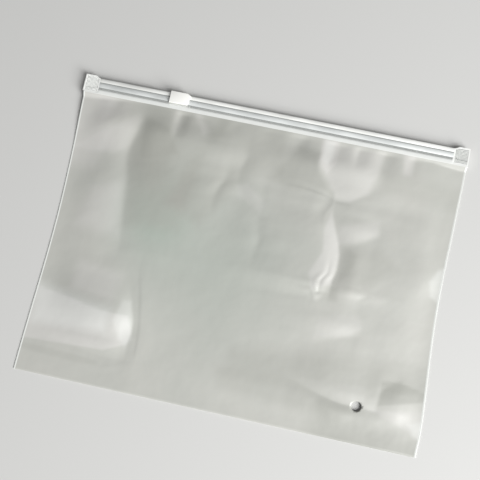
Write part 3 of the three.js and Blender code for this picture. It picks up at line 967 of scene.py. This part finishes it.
# Pit floors: pressed thinner, and greyer as painted shade in the pits
pit_grey_shade, _, _ = new_material("pit_grey_shade", screen_colour(203, 205, 203), 0.4)
rail_finishes = (zip_white, lock_grey, thin_web_shade, pressed_white, pit_grey_shade)
WHITE, GREY, WEB, PRESSED, PIT = range(len(rail_finishes))


def finish_of(face):
    middle = face.calc_center_median()
    y, out = middle.y - fold_line, abs(middle.z)
    in_lip_groove = strip_top < y < lock_bottom
    in_grip_groove = lock_top < y < rib_bottom
    if abs(middle.x) > half_width - crushed_length:
        is_pit_floor = out < web_outer - pit_depth / 2 and abs(face.normal.z) > facing_out
        near_lip_groove = strip_top - groove_margin < y < lock_bottom + groove_margin
        return (WEB if near_lip_groove else PIT) if is_pit_floor else PRESSED
    if (in_lip_groove or in_grip_groove) and out < web_outer + groove_margin:
        return WEB
    return GREY if lock_bottom <= y <= lock_top else WHITE


print("Finishes of the zip:", [material.name for material in rail_finishes])

# %% [markdown]
# Both rails are built lying outwards from the zip's middle plane. The rear one is then turned over by a
# scale of -1, so its normals are worked out again afterwards. The front rail has the jaws on its inner
# side and the rear rail has the hook between them, so the two are locked all the way along.

# %% Make the two rails


def add_rail(name, side, inner_sections):
    inner = half_width - crushed_length
    shape = bmesh.new()
    wall = push_section(shape, wall_section, -inner, inner)
    press_wall_ends(shape, wall)
    for section in inner_sections:
        push_section(shape, [(y, side * z) for y, z in section], -inner, inner)
    add_crushed_end(shape, -1)
    add_crushed_end(shape, 1)
    bmesh.ops.recalc_face_normals(shape, faces=shape.faces)
    for face in shape.faces:
        face.material_index = finish_of(face)
    bmesh.ops.scale(shape, verts=shape.verts, vec=(MM, MM, side * MM))
    bmesh.ops.translate(shape, verts=shape.verts, vec=(0, 0, zip_plane * MM))
    rail = finish_mesh(shape, name)
    for material in rail_finishes:
        rail.data.materials.append(material)
    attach(rail, "bag")
    return rail


front_rail = add_rail("front_rail", 1, jaw_sections)
rear_rail = add_rail("rear_rail", -1, [hook_section])
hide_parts("front_zip_rail")
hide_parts("rear_zip_rail")
print("Rails:", len(front_rail.data.polygons), "and", len(rear_rail.data.polygons), "faces")

# %% [markdown]
# The slider is a saddle that hooks under the lock bodies. Its section is pushed along the zip, its
# nose is cut back by two planes, and its outer edges are rounded. Planes keep the section whole where
# a taper by hand would bend it.

# %% Make the slider's saddle
slider_tail = slider_low.x / MM
slider_nose = slider_high.x / MM
slider_foot = slider_low.y / MM - fold_line
slider_roof = slider_high.y / MM - fold_line
slider_half = (slider_high.z - slider_low.z) / 2 / MM
roof_under = slider_roof - 0.8
lip_top = slider_foot + 0.6
rail_room = rail_half + 0.15
web_room = web_outer + 0.15
edge_round = 0.35
nose_lean = 0.9
nose_height = 5.4
roof_drop = 1.2
roof_slope_length = 2.4
sharp_turn = 0.2

cheek = [(roof_under, rail_room), (lip_top, rail_room), (lip_top, web_room), (slider_foot, web_room)]
saddle_section = cheek + [(slider_foot, slider_half), (slider_roof, slider_half)]
saddle_section = saddle_section + [(y, -z) for y, z in reversed(saddle_section)]


def cut_back(shape, place, direction):
    """Takes away what lies beyond a plane and closes the cut."""
    geom = list(shape.verts) + list(shape.edges) + list(shape.faces)
    plane = Vector((place[0], place[1] + fold_line, 0))
    cut = bmesh.ops.bisect_plane(
        shape, geom=geom, plane_co=plane, plane_no=(*direction, 0), clear_outer=True
    )
    edges = [e for e in cut["geom_cut"] if isinstance(e, bmesh.types.BMEdge)]
    bmesh.ops.holes_fill(shape, edges=edges, sides=0)


def is_outer(edge):
    on_cheeks = all(abs(abs(v.co.z) - slider_half) < hairline for v in edge.verts)
    on_roof = all(abs(v.co.y - fold_line - slider_roof) < hairline for v in edge.verts)
    return edge.is_manifold and edge.calc_face_angle() > sharp_turn and (on_cheeks or on_roof)


def add_saddle(shape):
    push_section(shape, saddle_section, slider_tail, slider_nose)
    cut_back(shape, (slider_nose - nose_lean, slider_foot), (nose_height, -nose_lean))
    cut_back(shape, (slider_nose, slider_roof - roof_drop), (roof_drop, roof_slope_length))
    bmesh.ops.recalc_face_normals(shape, faces=shape.faces)
    round_edges(shape, [e for e in shape.edges if is_outer(e)], edge_round, 3)


print("The slider is", round(slider_nose - slider_tail, 1), "mm long")

# %% [markdown]
# A thin plough hangs from the saddle's roof between the two ribs, and opens the lock when the slider is
# drawn back. It is a cube stretched to a plate, cut across near both ends, and pinched at its tips.

# %% Make the plough, and the slider as a whole
plough_length = 7.0
plough_thickness = 0.55
plough_drop = 2.5
plough_root = 0.4
plough_taper = 1.1
plough_from_tail = 2.4
plough_tip_share = 0.1


def add_plough(shape):
    height = plough_drop + plough_root
    plate = bmesh.ops.create_cube(shape, size=1.0)["verts"]
    bmesh.ops.scale(shape, verts=plate, vec=(plough_length, height, plough_thickness))
    geom = plate + edges_at(plate) + faces_at(plate)
    for end in (-1, 1):
        geom = cut_across(shape, geom, end * (plough_length / 2 - plough_taper))
    plate = [item for item in geom if isinstance(item, bmesh.types.BMVert)]
    for vert in plate:
        if abs(vert.co.x) > plough_length / 2 - hairline:
            vert.co.z *= plough_tip_share
    middle = slider_tail + plough_from_tail + plough_length / 2
    centre = (middle, roof_under - plough_drop + height / 2 + fold_line, 0)
    bmesh.ops.translate(shape, verts=plate, vec=centre)


def add_slider():
    shape = bmesh.new()
    add_saddle(shape)
    add_plough(shape)
    bmesh.ops.scale(shape, verts=shape.verts, vec=(MM, MM, MM))
    bmesh.ops.translate(shape, verts=shape.verts, vec=(0, 0, zip_plane * MM))
    return finish_mesh(shape, "slider_saddle")


slider_white, _, _ = new_material("slider_white", screen_colour(250, 250, 246), 0.3)
slider = add_slider()
slider.data.materials.append(slider_white)
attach(slider, "slider")
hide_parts("zip_slider")
print("Slider:", len(slider.data.polygons), "faces")
